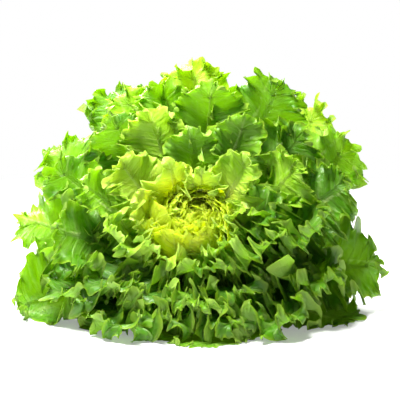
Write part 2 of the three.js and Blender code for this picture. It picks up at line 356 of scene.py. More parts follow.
def ruffled_blade(leaf, settings, columns, rows):
    """The middle surface of a leaf before the leaf is put in its place. Its lines fan out from the midrib
    to the margin, as side veins do, and each one bends up or down on its way, which ruffles the margin.

    Returns where the points are on the flat leaf, how far they rise, and the fields that go with them:
    how far along the leaf they are, how near the margin, and so on.
    """
    rng = np.random.default_rng(settings.seed + leaf.index)
    old = 1 - leaf.age
    margin = Margin(leaf, columns)
    ruffles = Ruffles(leaf, settings, rng, margin)

    size = lerp(0.35, 1, old)
    width = lerp(0.6, 1, old)
    lobes = tooth_line(rng, margin.arc, size * settings.lobe_depth, width * settings.lobe_width)
    teeth = tooth_line(rng, margin.arc, size * settings.tooth_length, width * settings.tooth_width)
    stand_out = (lobes - 0.4 * size * settings.lobe_depth + teeth) * margin.blade

    # Rows are closest together at the margin. Each stride out along a vein follows its bend.
    grid = (1 - (1 - np.linspace(0, 1, rows + 1)) ** 1.35)[:, None]
    bend = ruffles.bend((grid[1:] + grid[:-1]) / 2) * margin.blade
    stride = margin.vein_length * np.diff(grid, axis=0) + stand_out * np.diff(grid**4, axis=0)
    still = np.zeros((1, len(margin.arc)))
    out = np.concatenate([still, np.cumsum(stride * np.cos(bend), axis=0)])
    lift = np.concatenate([still, np.cumsum(stride * np.sin(bend), axis=0)])
    longer = np.clip(margin.vein_length / np.maximum(out[-1], 1e-4), 1, MOST_STRETCH) ** settings.fullness
    out, lift = out * longer, lift * longer
    slide = -settings.overhang * ruffles.length * np.sin(2 * ruffles.phase) * margin.blade * grid**2.2
    slide = slide + 0.4 * teeth * margin.blade * margin.tipward * smoothstep(grid, 0.7, 1)
    flat = margin.midrib + margin.outward * out[..., None] + margin.ahead * slide[..., None]

    # Tips fold in or back. Low leaves between the oldest and the heart hang down.
    along = flat[..., 1] / leaf.length
    hang = 4 * ruffles.low * leaf.age
    droop = variation(leaf.index, FOLD_TRAIT) * (1 - 0.5 * hang) - hang
    fold = settings.tip_fold * leaf.length * droop * (1 + ruffles.low + 2 * hang)
    twist = math.tan(settings.twist) * variation(leaf.index, TWIST_TRAIT)
    lift = lift + fold * smoothstep(along, 0.5, 1.1) + twist * flat[..., 0] * smoothstep(along, 0.2, 0.8)
    sway = math.tan(settings.sway) * variation(leaf.index, SWAY_TRAIT) * leaf.length
    flat[..., 0] += sway * smoothstep(along, 0.2, 1.3) * old

    rib_width = leaf.stalk_half_width * lerp(1.0, 0.1, np.clip(along, 0, 1) ** 0.6)
    fields = {
        "along": along,
        "edge": np.broadcast_to(grid, along.shape),
        "rib": np.abs(flat[..., 0]) / rib_width,
        "flow": np.broadcast_to(margin.far, along.shape),
        "flat_x": (margin.side * margin.vein_length * 0.8) * grid,
        "flat_y": np.broadcast_to(margin.arc, along.shape),
    }
    return flat, lift, fields


LEAST_DISTANCE = 0.004  # from the start of a cone
TABLE_GAP = 0.0008  # from the table to the middle surface of a leaf that is pressed onto it
TABLE_SOFTNESS = 0.0015  # over which it curves up from there


def place_on_cone(leaf, flat, lift, edge):
    """Bends the flat blade onto the cone of its leaf, and lifts it towards the axis of the head."""
    distance = np.maximum(leaf.stalk_start + flat[..., 1], LEAST_DISTANCE)
    along = flat[..., 1] / leaf.length
    straight = spread(leaf.age, distance, leaf.turn)
    radius = np.maximum(distance * np.sin(straight), leaf.tightest)
    turn = leaf.turn + flat[..., 0] / radius
    shared = leaf.frill * np.sin(2 * math.pi * distance / FRILL_LENGTH + FRILL_TURNS * turn)
    room = share_of_spread(distance, turn) ** 2
    lift = lift * lerp(0.8, 1, room) + shared * room * edge**1.5 * smoothstep(along, 0.15, 0.6)
    angle = spread(leaf.age, distance, turn)
    outwards = np.cos(turn)[..., None] * UP + np.sin(turn)[..., None] * RIGHT
    cosine, sine = np.cos(angle)[..., None], np.sin(angle)[..., None]
    start = crown_centre() + AXIS * cone_start(leaf.age)
    surface = start + distance[..., None] * (AXIS * cosine + outwards * sine)
    points = surface + lift[..., None] * (AXIS * sine - outwards * cosine)
    return rest_on_table(points)


def rest_on_table(points):
    """Presses what would be under the table flat onto it."""
    height = points[..., 2] - TABLE_GAP
    points[..., 2] = TABLE_GAP + TABLE_SOFTNESS * np.logaddexp(0, height / TABLE_SOFTNESS)
    return points


def stitch(points, fields):
    """Joins the two halves of a sheet along the midrib, and lists its faces."""
    rows, columns = points.shape[0] - 1, points.shape[1] // 2
    column = np.arange(2 * columns + 1)
    index = np.empty((rows + 1, len(column)), int)
    index[0] = np.minimum(column, 2 * columns - column)
    index[1:] = columns + 1 + np.arange(rows * len(column)).reshape(rows, -1)
    keep = np.zeros((rows + 1, len(column)), bool)
    keep[1:] = True
    keep[0, : columns + 1] = True
    corners = [index[:-1, :-1], index[:-1, 1:], index[1:, 1:], index[1:, :-1]]
    faces = np.stack([corner.ravel() for corner in corners], -1)
    return points[keep], faces, {name: values[keep] for name, values in fields.items()}


# ---- The crown and the leaflets of the heart ----


CROWN_COLUMNS = 96
FACE_HOLLOW = 0.0012  # depth of the cut face in its middle
CUT_EDGE = 0.0012  # where the side of the crown starts, up the axis from the rim of its cut
BROWNED_BELOW = 0.0011  # measured in the same way
STALK_GAP = 0.0015  # between the crown and the foot of a stalk
CROWN_TOP = 0.003  # how far the middle of the top stands up
SCAR_START = 0.003  # up the axis from the rim of the cut


def crown_profile():
    """Half the outline of the crown, as radius and height up the axis, and which of its points are browned.
    The face is browned but for a pale ring round its middle."""
    face = [(CUT_RADIUS * r, -CUT_DEPTH + FACE_HOLLOW * (1 - r**2)) for r in np.linspace(0.04, 0.96, 12)]
    rim = [(CUT_RADIUS * 0.99, -CUT_DEPTH + CUT_EDGE / 4), (CUT_RADIUS, -CUT_DEPTH + CUT_EDGE)]
    feet = []
    for age in np.linspace(0, 1, 12):
        reach = lerp(HEART_STALK_START, OUTER_STALK_START, 1 - age)
        angle = free_spread(age, reach)
        reach -= STALK_GAP
        feet.append((reach * math.sin(angle), cone_start(age) + reach * math.cos(angle)))
    side = lerp(np.array(rim[-1]), np.array(feet[0]), np.linspace(0, 1, 16)[1:-1, None])
    profile = np.concatenate([face, rim, side, feet])
    return profile, profile[:, 1] < -CUT_DEPTH + BROWNED_BELOW


def crown_body():
    """The cut stem, turned about the axis of the head, with shallow flutes."""
    columns = CROWN_COLUMNS
    profile, browned = crown_profile()
    turn = np.linspace(0, 2 * math.pi, columns, endpoint=False)
    flutes = 1 + 0.03 * np.sin(5 * turn + 0.7) + 0.02 * np.sin(9 * turn + 2.0)
    radius = profile[:, :1] * np.minimum(flutes, 1.0)
    outwards = np.cos(turn)[:, None] * UP + np.sin(turn)[:, None] * RIGHT
    points = crown_centre() + radius[..., None] * outwards + profile[:, 1][:, None, None] * AXIS
    face_middle = crown_centre() + AXIS * (-CUT_DEPTH + FACE_HOLLOW)
    top_middle = crown_centre() + AXIS * (profile[-1][1] + CROWN_TOP)
    points = np.concatenate([points.reshape(-1, 3), [face_middle, top_middle]])

    rows = len(profile)
    step = np.arange(columns)
    after = (step + 1) % columns
    faces = []
    for row in range(rows - 1):
        low = row * columns
        high = low + columns
        faces += np.stack([high + step, high + after, low + after, low + step], -1).tolist()
    faces += [[rows * columns, int(a), int(b)] for a, b in zip(step, after)]
    last = (rows - 1) * columns
    faces += [[rows * columns + 1, last + int(b), last + int(a)] for a, b in zip(step, after)]
    cut = np.concatenate([np.repeat(browned, columns), [1, 0]]).astype(float)
    ring = np.concatenate([np.repeat(profile[:, 0] / CUT_RADIUS, columns), [0, 0]])
    return points, faces, {"cut": cut, "ring": ring}


def scar_pad():
    """The scar of one trimmed leaf: a low crescent, flat on its underside and cut across its top."""
    columns, rows = 12, 5
    half_width = 0.0125
    height = 0.010
    thickness = 0.0022
    sunk = 0.0008
    points, faces, fields = [], [], {"cut": [], "ring": []}
    for side in (1, 0):
        for row in range(rows + 1):
            for column in range(columns + 1):
                across = column / columns * 2 - 1
                up = row / rows
                swell = (1 - across * across) ** 0.5 * math.sin(math.pi * min(up * 1.15 + 0.08, 1)) ** 0.5
                out = thickness * swell * side - sunk - 0.0045 * across * across
                points.append((out, half_width * across, height * up + 0.004 * across * across))
                fields["cut"].append(0.35 * (up < 0.2))
                fields["ring"].append(0.3)
    stride = columns + 1
    under = stride * (rows + 1)
    for row in range(rows):
        for column in range(columns):
            a = row * stride + column
            face = [a, a + 1, a + 1 + stride, a + stride]
            faces.append(face)
            faces.append([under + corner for corner in reversed(face)])
    rim = [c for c in range(columns)] + [r * stride + columns for r in range(rows)]
    rim += [rows * stride + c for c in range(columns, 0, -1)] + [r * stride for r in range(rows, 0, -1)]
    for a, b in zip(rim, rim[1:] + rim[:1]):
        faces.append([b, a, under + a, under + b])
    return np.array(points), faces, {name: np.array(values, float) for name, values in fields.items()}


LEAFLET_SHEET = (26, 6)  # columns along one margin and rows from the midrib out


class Leaflet:
    """The sizes of a small leaf at the growing tip, with what ruffled_blade reads of a Leaf."""

    def __init__(self, number):
        self.index = 100 + number
        self.age = 1.0
        self.length = 0.032
        self.half_width = 0.018
        self.stalk_half_width = 0.0022
        self.turn = number * GOLDEN_ANGLE


def leaflets(settings, count):
    """Curled leaflets, each standing along +Z with its back to +X. Each is a little further out than the one
    before, so that none merge."""
    points, faces, fields = [], [], []
    for number in range(count):
        leaflet = Leaflet(number)
        flat, lift, more = ruffled_blade(leaflet, settings, *LEAFLET_SHEET)
        hollow = 0.35 * flat[..., 0] ** 2 / leaflet.half_width
        hollow = hollow + 0.6 * np.maximum(flat[..., 1], 0) ** 2 / leaflet.length
        back = 0.004 + 1e-4 * number - 0.5 * lift - hollow
        place = np.stack([back, flat[..., 0], flat[..., 1]], -1)
        place, quads, more = stitch(place, more)
        quads = quads + sum(len(p) for p in points)
        points.append(place)
        faces.append(quads)
        fields.append(more)
    joined = {name: np.concatenate([more[name] for more in fields]) for name in fields[0]}
    return np.concatenate(points), np.concatenate(faces), joined


# ---- Node trees as expressions ----


class Value:
    """An output of a node. Maths on it adds Math nodes."""

    def __init__(self, tree, socket):
        self.tree = tree
        self.socket = socket

    def maths(self, operation, *others):
        """A Math node with this value first."""
        return self.tree.maths(operation, self, *others)

    def __add__(self, other):
        return self.maths("ADD", other)

    def __radd__(self, other):
        return self.tree.maths("ADD", other, self)

    def __sub__(self, other):
        return self.maths("SUBTRACT", other)

    def __rsub__(self, other):
        return self.tree.maths("SUBTRACT", other, self)

    def __mul__(self, other):
        return self.maths("MULTIPLY", other)

    def __rmul__(self, other):
        return self.tree.maths("MULTIPLY", other, self)

    def __truediv__(self, other):
        return self.maths("DIVIDE", other)

    def __rtruediv__(self, other):
        return self.tree.maths("DIVIDE", other, self)

    def __pow__(self, other):
        return self.maths("POWER", other)


class Tree:
    """A node tree that is written as expressions."""

    def __init__(self, tree):
        self.tree = tree
        tree.nodes.clear()

    @staticmethod
    def find(sockets, key):
        if isinstance(key, int):
            return sockets[key]
        return next(s for s in sockets if key in (s.identifier, s.name))

    def node(self, kind, settings=None, sockets=None, out=0):
        """Adds a node: its settings first, then the values or links of its sockets."""
        node = self.tree.nodes.new(kind)
        for name, value in (settings or {}).items():
            if name == "stops":
                self.set_stops(node.color_ramp, value)
            else:
                setattr(node, name, value)
        for key, value in (sockets or {}).items():
            socket = self.find(node.inputs, key)
            if isinstance(value, Value):
                self.tree.links.new(value.socket, socket)
            else:
                socket.default_value = value
        return Value(self, self.find(node.outputs, out)) if node.outputs else node

    def maths(self, operation, *values):
        return self.node("ShaderNodeMath", {"operation": operation}, dict(enumerate(values)))

    @staticmethod
    def set_stops(ramp, stops):
        while len(ramp.elements) < len(stops):
            ramp.elements.new(1)
        for element, (position, colour) in zip(ramp.elements, stops):
            element.position = position
            element.color = (*colour, 1)

    def output(self, value, name):
        """Another output of the node that gave a value."""
        return Value(self, self.find(value.socket.node.outputs, name))

    def step(self, value, low, high):
        """0 below low, 1 above high, and smooth between."""
        sockets = {"Value": value, "From Min": low, "From Max": high}
        return self.node("ShaderNodeMapRange", {"interpolation_type": "SMOOTHSTEP"}, sockets)

    def mix(self, share, a, b):
        """From colour a to colour b."""
        a, b = (c if isinstance(c, Value) else (*c, 1) for c in (a, b))
        sockets = {"Factor_Float": share, "A_Color": a, "B_Color": b}
        return self.node("ShaderNodeMix", {"data_type": "RGBA"}, sockets, "Result_Color")

    def vector(self, x=0.0, y=0.0, z=0.0):
        return self.node("ShaderNodeCombineXYZ", {}, {0: x, 1: y, 2: z})

    def vector_maths(self, operation, sockets):
        return self.node("ShaderNodeVectorMath", {"operation": operation}, sockets)

    def read(self, name):
        """An attribute of a surface, in a material."""
        return self.node("ShaderNodeAttribute", {"attribute_name": name}, {}, "Fac")

    def noise(self, place, scale, detail=2.0, roughness=0.5):
        sockets = {"Vector": place, "Scale": scale, "Detail": detail, "Roughness": roughness}
        return self.node("ShaderNodeTexNoise", {}, sockets)


def plain_colour(red, green, blue):
    """A colour given as it shows on screen, 0 to 255, as the linear values that Blender holds."""
    shares = (channel / 255 for channel in (red, green, blue))
    return tuple(s / 12.92 if s <= 0.04045 else ((s + 0.055) / 1.055) ** 2.4 for s in shares)


def new_material(name):
    material = bpy.data.materials.new(name)
    material.use_nodes = True
    return material, Tree(material.node_tree)


# ---- Materials ----

SIDE_VEINS = 13.0  # on each side of the midrib
BLADE_GLOW = 0.5  # share of a leaf's look that is light through it
HEART_GLOW = 0.7


def leaf_colour(tree, read, look, green, veins):
    """The colour of a leaf, by how green it is, with paler veins, rib, margin and back. Low down its darker
    green is painted shade.
    """
    stops = [
        (0.0, look.foot_colour),
        (0.25, look.heart_colour),
        (0.5, look.young_colour),
        (0.75, look.leaf_colour),
        # Old blades take some of this darkest stop. The low leaves take it most, and there it is painted
        # shade.
        (1.0, look.deep_and_shaded_colour),
    ]
    blade = tree.node("ShaderNodeValToRGB", {"stops": stops}, {"Fac": green}, "Color")
    pale = tree.mix(0.5, blade, look.foot_colour)
    for share in veins:
        blade = tree.mix(share, blade, pale)
    rim_colour = tree.mix(tree.step(green, 0.5, 1.0), look.young_rim_colour, look.rim_colour)
    blade = tree.mix(tree.step(read["edge"], 0.84, 1.0) * 0.38, blade, rim_colour)
    midrib = 1 - tree.step(read["rib"], 0.5, 1.25)
    blade = tree.mix(midrib * (1 - tree.step(read["along"], 0.4, 1.3)) * 0.8, blade, look.foot_colour)
    # Greener blades have a less pale back. Low down, where green is raised as painted shade, the backs stay
    # darker as painted shade too.
    pale_back = 0.85 - tree.step(green, 0.75, 1.05) * 0.5 - midrib * 0.35
    return tree.mix(read["underside"] * pale_back, blade, look.underside_colour)


def leaf_material(name, look, through):
    """A waxy leaf with veins. It goes from the blanched foot to the green tip, and lets light through."""
    material, tree = new_material(name)
    fields = ("along", "edge", "rib", "flow", "green", "tone", "underside")
    read = {field: tree.read(field) for field in fields}
    place = tree.node("ShaderNodeTexCoord", {}, {}, "Object")
    flat = tree.node("ShaderNodeUVMap", {"uv_map": "blade"})
    patches = tree.noise(place, 38.0, 3.0)
    blisters = tree.noise(place, 150.0, 3.0, 0.55)
    along_veins = tree.vector_maths("MULTIPLY", {0: flat, 1: (0.12, 1.0, 1.0)})
    streaks = tree.noise(along_veins, 420.0, 3.0, 0.6)
    net_settings = {"feature": "DISTANCE_TO_EDGE"}
    net = tree.node("ShaderNodeTexVoronoi", net_settings, {"Vector": flat, "Scale": 170.0}, "Distance")
    net_line = 1 - tree.step(net, 0.02, 0.22)
    side = (read["flow"] * SIDE_VEINS + (patches - 0.5) * 0.7).maths("FRACT")
    side = (side - 0.5).maths("ABSOLUTE")
    side_line = (1 - tree.step(side, 0.02, 0.13)) * (1 - tree.step(read["edge"], 0.5, 0.95))

    green = read["green"] + (patches - 0.5) * 0.35 + read["tone"] * 0.2
    veins = (side_line * 0.3, net_line * 0.16, tree.step(streaks, 0.4, 0.75) * 0.3)
    relief = side_line * 0.3 + net_line * 0.2 + streaks * 1.3 + blisters * 0.8
    bump = tree.node("ShaderNodeBump", {}, {"Strength": 0.8, "Distance": 0.0012, "Height": relief})
    sockets = {
        "Base Color": leaf_colour(tree, read, look, green, veins),
        "Roughness": 0.31 + patches * 0.12 + read["underside"] * 0.1,
        "Specular IOR Level": 0.38,
        "Normal": bump,
    }
    surface = tree.node("ShaderNodeBsdfPrincipled", {}, sockets)
    young_glow, old_glow = (
        tree.node("ShaderNodeBsdfTranslucent", {}, {"Color": (*glow, 1), "Normal": bump})
        for glow in (look.young_glow, look.old_glow)
    )
    sockets = {0: tree.step(green, 0.3, 0.9), 1: young_glow, 2: old_glow}
    glowing = tree.node("ShaderNodeMixShader", {}, sockets)
    both = tree.node("ShaderNodeMixShader", {}, {0: through, 1: surface, 2: glowing})
    tree.node("ShaderNodeOutputMaterial", {}, {"Surface": both})
    return material


def crown_material():
    """A pale stem with long fibres, browned and ringed where it was cut."""
    material, tree = new_material("crown")
    place = tree.node("ShaderNodeTexCoord", {}, {}, "Object")
    cut = tree.read("cut")
    ring = tree.read("ring")
    patches = tree.noise(place, 120.0, 4.0, 0.6)
    grain = tree.noise(place, 700.0, 2.0)
    side = tree.mix(patches, plain_colour(238, 236, 206), plain_colour(204, 214, 150))
    dried = tree.step(patches + cut * 0.5, 0.5, 0.95)
    side = tree.mix(dried * 0.5, side, plain_colour(186, 158, 104))
    rings = tree.step(ring + (patches - 0.5) * 0.25, 0.55, 0.8) * (1 - tree.step(ring, 0.85, 0.98))
    face = tree.mix(patches, plain_colour(222, 202, 156), plain_colour(182, 142, 92))
    face = tree.mix(rings * 0.7, face, plain_colour(128, 86, 46))
    colour = tree.mix(cut, side, face)
    relief = patches + grain * 0.5
    bump = tree.node("ShaderNodeBump", {}, {"Strength": 0.6, "Distance": 0.0008, "Height": relief})
    sockets = {"Base Color": colour, "Roughness": 0.5 + grain * 0.2, "Normal": bump}
    surface = tree.node("ShaderNodeBsdfPrincipled", {}, sockets)
    tree.node("ShaderNodeOutputMaterial", {}, {"Surface": surface})
    return material


FLOOR_FADE = (0.3, 0.75)  # how far from the middle the table goes over to plain white


def floor_material(look):
    """White, and a little glossy. What is seen of it is brighter than it lights the head, so that only the
    shadow shows, and it is plain white some way off."""
    material, tree = new_material("floor")
    path = tree.node("ShaderNodeLightPath", {}, {}, "Is Camera Ray")
    seen = path + tree.output(path, "Is Glossy Ray") + tree.output(path, "Is Transmission Ray")
    seen = seen.maths("MINIMUM", 1.0)
    place = tree.node("ShaderNodeTexCoord", {}, {}, "Object")
    away = tree.output(tree.vector_maths("LENGTH", {0: place}), "Value")
    plain = tree.step(away, *FLOOR_FADE)
    sockets = {"Base Color": (*look.floor_colour, 1), "Roughness": 0.22, "Specular IOR Level": 0.3}
    surface = tree.node("ShaderNodeBsdfPrincipled", {}, sockets)
    glow = tree.node("ShaderNodeEmission", {}, {"Strength": seen * look.floor_glow})
    near = tree.node("ShaderNodeAddShader", {}, {0: surface, 1: glow})
    white = tree.node("ShaderNodeEmission", {}, {"Strength": 1.0})
    both = tree.node("ShaderNodeMixShader", {}, {0: plain * seen, 1: near, 2: white})
    tree.node("ShaderNodeOutputMaterial", {}, {"Surface": both})
    return material


# ---- Geometry nodes: puckers and thickness of a leaf ----


SHARP_ANGLE = math.radians(50)
MERGE_DISTANCE = 1e-7  # joins points that coincide, and no others


def new_group(name, inputs):
    """A geometry tree with named inputs. Returns it and its input node, which gives the geometry."""
    group = bpy.data.node_groups.new(name, "GeometryNodeTree")
    tree = Tree(group)
    face = group.interface
    face.new_socket(name="Geometry", in_out="OUTPUT", socket_type="NodeSocketGeometry")
    face.new_socket(name="Geometry", in_out="INPUT", socket_type="NodeSocketGeometry")
    for socket, kind in inputs.items():
        face.new_socket(name=socket, in_out="INPUT", socket_type=f"NodeSocket{kind}")
    return group, tree, tree.node("NodeGroupInput", {}, {}, "Geometry")


def finish_group(tree, geometry, material):
    """The end of a geometry tree: real geometry, smooth but for its sharp edges, with its material set."""
    real = tree.node("GeometryNodeRealizeInstances", {}, {"Geometry": geometry})
    smooth = tree.node("GeometryNodeSetShadeSmooth", {}, {"Geometry": real, "Shade Smooth": True})
    angle = tree.node("GeometryNodeInputMeshEdgeAngle", {}, {}, "Unsigned Angle")
    sharp = angle.maths("GREATER_THAN", SHARP_ANGLE)
    sockets = {"Geometry": smooth, "Selection": sharp, "Shade Smooth": False}
    crisp = tree.node("GeometryNodeSetShadeSmooth", {"domain": "EDGE"}, sockets)
    painted = tree.node("GeometryNodeSetMaterial", {}, {"Geometry": crisp, "Material": material})
    tree.node("NodeGroupOutput", {}, {"Geometry": painted})


def read_field(tree, name):
    """A field of a mesh, in a geometry tree."""
    return tree.node("GeometryNodeInputNamedAttribute", {"data_type": "FLOAT"}, {"Name": name}, "Attribute")


def move_out(tree, geometry, height):
    """Moves a surface along its normals."""
    normal = tree.node("GeometryNodeInputNormal")
    offset = tree.vector_maths("SCALE", {0: normal, "Scale": height})
    return tree.node("GeometryNodeSetPosition", {}, {"Geometry": geometry, "Offset": offset})


def join(tree, *parts):
    """One geometry of several."""
    both = tree.node("GeometryNodeJoinGeometry")
    for part in parts:
        tree.tree.links.new(part.socket, both.socket.node.inputs[0])
    return both


def leaf_tree():
    """Puckers a leaf between its veins, gives it a thickness, and sets its material."""
    sizes = ("Blade Thickness", "Rib Thickness", "Pucker Height", "Pucker Size", "Seed")
    inputs = {**dict.fromkeys(sizes, "Float"), "Material": "Material"}
    group, tree, sheet = new_group("leaf_thickness", inputs)
    blade_thickness, rib_thickness, pucker_height, pucker_size, seed = (tree.output(sheet, n) for n in sizes)

    shift = tree.vector(seed * 0.13, seed * 0.07, seed * 0.11)
    place = tree.vector_maths("ADD", {0: tree.node("GeometryNodeInputPosition"), 1: shift})
    pucker = tree.noise(place, 1 / pucker_size, 2.5, 0.55)
    blade = tree.step(read_field(tree, "along"), 0.12, 0.5)
    puckered = move_out(tree, sheet, (pucker - 0.5) * 2.0 * pucker_height * blade)
    puckered = tree.node("GeometryNodeTriangulate", {}, {"Mesh": puckered})

    rib = 1 - tree.step(read_field(tree, "rib"), 0.0, 1.4)
    thickness = blade_thickness + rib * (1 - tree.step(read_field(tree, "along"), 0.0, 1.0)) * rib_thickness
    under = move_out(tree, puckered, thickness * -0.5)
    sockets = {"Mesh": under, "Offset Scale": thickness, "Individual": False}
    upper = tree.node("GeometryNodeExtrudeMesh", {"mode": "FACES"}, sockets)
    under = tree.node("GeometryNodeFlipFaces", {}, {"Mesh": under})
    sockets = {"Geometry": under, "Name": "underside", "Value": 1.0}
    under = tree.node("GeometryNodeStoreNamedAttribute", {"data_type": "FLOAT", "domain": "FACE"}, sockets)
    both = join(tree, upper, under)
    merged = tree.node("GeometryNodeMergeByDistance", {}, {"Geometry": both, "Distance": MERGE_DISTANCE})
    finish_group(tree, merged, tree.output(sheet, "Material"))
    return group


def head_rotation(tree, geometry, tilt, place):
    """Turns geometry built about +Z so that +Z lies along the axis of the head, and puts it in its place."""
    sockets = {"Geometry": geometry, "Translation": place, "Rotation": tree.vector(tilt)}
    return tree.node("GeometryNodeTransform", {}, sockets)


def spiral_points(tree, count, turn, radius, height):
    """Points round +Z."""
    spot = tree.vector(radius * turn.maths("COSINE"), radius * turn.maths("SINE"), height)
    return tree.node("GeometryNodePoints", {}, {"Count": count, "Position": spot})


HEART_JITTER = 0.22  # by which leaflets differ in size, as a share, and in lean, as an angle


def heart_tree(leaf_group):
    """Sets curled leaflets round the axis in a spiral, small and upright in the middle."""
    sizes = ("Turn", "Radius", "Lean", "Sink", "Tilt", "Crumple", "Blade Thickness")
    inputs = dict.fromkeys(sizes, "Float")
    inputs.update({"Count": "Int", "Seed": "Int", "Place": "Vector", "Material": "Material"})
    group, tree, leaflets = new_group("heart_spiral", inputs)
    given = {name: tree.output(leaflets, name) for name in inputs}
    sockets = {
        "Geometry": leaflets,
        "Blade Thickness": given["Blade Thickness"],
        "Rib Thickness": 0.0008,
        "Pucker Height": 0.0008,
        "Pucker Size": 0.007,
        "Seed": 3.0,
        "Material": given["Material"],
    }
    thick = tree.node("GeometryNodeGroup", {"node_tree": leaf_group}, sockets, "Geometry")
    island = tree.node("GeometryNodeInputMeshIsland", {}, {}, "Island Index")
    sockets = {"Geometry": thick, "Group ID": island}
    shapes = tree.node("GeometryNodeSplitToInstances", {}, sockets, "Instances")

    index = tree.node("GeometryNodeInputIndex")
    share = (index + 0.5) / given["Count"]
    out = share**0.5
    turn = index * given["Turn"]
    points = spiral_points(tree, given["Count"], turn, given["Radius"] * out, given["Sink"] * share * -1.0)
    sockets = {"Min_001": -HEART_JITTER, "Max_001": HEART_JITTER, "Seed": given["Seed"]}
    jitter = tree.node("FunctionNodeRandomValue", {"data_type": "FLOAT"}, sockets, "Value_001")
    size = (0.55 + out * 0.45) * (1 + jitter)
    sockets = {
        "Points": points,
        "Instance": shapes,
        "Pick Instance": True,
        "Instance Index": index,
        "Rotation": tree.vector(jitter, given["Lean"] * out + jitter, turn + jitter * 2.5),
        "Scale": tree.vector(size, size, size),
    }
    curls = tree.node("GeometryNodeInstanceOnPoints", {}, sockets)
    curls = tree.node("GeometryNodeRealizeInstances", {}, {"Geometry": curls})
    bumps = tree.noise(tree.node("GeometryNodeInputPosition"), 90.0, 2.0)
    push = tree.vector_maths("SUBTRACT", {0: tree.output(bumps, "Color"), 1: (0.5, 0.5, 0.5)})
    push = tree.vector_maths("SCALE", {0: push, "Scale": given["Crumple"]})
    crumpled = tree.node("GeometryNodeSetPosition", {}, {"Geometry": curls, "Offset": push})
    finish_group(tree, head_rotation(tree, crumpled, given["Tilt"], given["Place"]), given["Material"])
    return group


def crown_tree():
    """Roughens the crown with the grain of its stem."""
    group, tree, body = new_group("crown_grain", {"Grain Height": "Float", "Material": "Material"})
    place = tree.node("GeometryNodeInputPosition")
    grain = tree.noise(place, 160.0, 3.0)
    rough = move_out(tree, body, (grain - 0.5) * tree.output(body, "Grain Height"))
    finish_group(tree, rough, tree.output(body, "Material"))
    return group


def scar_tree():
    """Sets the scars of trimmed leaves round the crown in a spiral."""
    inputs = dict.fromkeys(("Turn", "Radius", "Start", "Rise", "Tilt"), "Float")
    inputs.update({"Count": "Int", "Place": "Vector", "Material": "Material"})
    group, tree, pad = new_group("scar_spiral", inputs)
    given = {name: tree.output(pad, name) for name in inputs}
    index = tree.node("GeometryNodeInputIndex")
    turn = index * given["Turn"]
    height = given["Start"] + given["Rise"] * index
    points = spiral_points(tree, given["Count"], turn, given["Radius"], height)
    sockets = {"Points": points, "Instance": pad, "Rotation": tree.vector(z=turn)}
    scars = tree.node("GeometryNodeInstanceOnPoints", {}, sockets)
    finish_group(tree, head_rotation(tree, scars, given["Tilt"], given["Place"]), given["Material"])
    return group


def add_modifier(piece, group, values):
    """Puts a node group on a piece, with its inputs by name."""
    modifier = piece.modifiers.new(group.name, "NODES")
    modifier.node_group = group
    for item in group.interface.items_tree:
        if item.item_type == "SOCKET" and item.in_out == "INPUT" and item.name in values:
            modifier[item.identifier] = values[item.name]


def make_plain(pieces):
    """Turns what the modifiers give into plain meshes."""
    depsgraph = bpy.context.evaluated_depsgraph_get()
    meshes = [
        bpy.data.meshes.new_from_object(
            piece.evaluated_get(depsgraph), preserve_all_data_layers=True, depsgraph=depsgraph
        )
        for piece in pieces
    ]
    for piece, mesh in zip(pieces, meshes):
        piece.modifiers.clear()
        piece.data = mesh


def mesh_object(name, points, faces, fields):
    """A mesh from arrays, with a float attribute for each field."""
    mesh = bpy.data.meshes.new(name)
    mesh.from_pydata(points.tolist(), [], faces if isinstance(faces, list) else faces.tolist())
    for field, values in fields.items():
        layer = mesh.attributes.new(field, "FLOAT", "POINT")
        layer.data.foreach_set("value", np.ascontiguousarray(values, np.float32))
    piece = bpy.data.objects.new(name, mesh)
    bpy.context.scene.collection.objects.link(piece)
    return piece


def add_blade_map(piece, flat_x, flat_y):
    """A UV map in metres on the flat blade."""
    mesh = piece.data
    layer = mesh.uv_layers.new(name="blade")
    corner = np.empty(len(mesh.loops), np.int32)
    mesh.loops.foreach_get("vertex_index", corner)
    pairs = np.stack([flat_x[corner], flat_y[corner]], -1).astype(np.float32)
    layer.data.foreach_set("uv", pairs.ravel())


def hand_over(piece, slot, *nodes):
    """Puts a finished piece on the body of the root, and hides the solids that it stands for."""
    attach(piece, "root")
    if nodes:
        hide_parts(*nodes)


# ---- Settings ----


def length_property(name, description, default):
    """A setting in metres."""
    return bpy.props.FloatProperty(name=name, description=description, default=default, unit="LENGTH")


def angle_property(name, description, degrees):
    """A setting that is an angle, with its default in degrees."""
    default = math.radians(degrees)
    return bpy.props.FloatProperty(name=name, description=description, default=default, subtype="ANGLE")


def share_property(name, description, default):
    """A setting that is a plain number."""
    return bpy.props.FloatProperty(name=name, description=description, default=default)


def colour_property(name, description, colour):
    """A setting that is a colour, with its default as it shows on screen."""
    return bpy.props.FloatVectorProperty(
        name=name, description=description, default=plain_colour(*colour), subtype="COLOR", min=0, max=1
    )


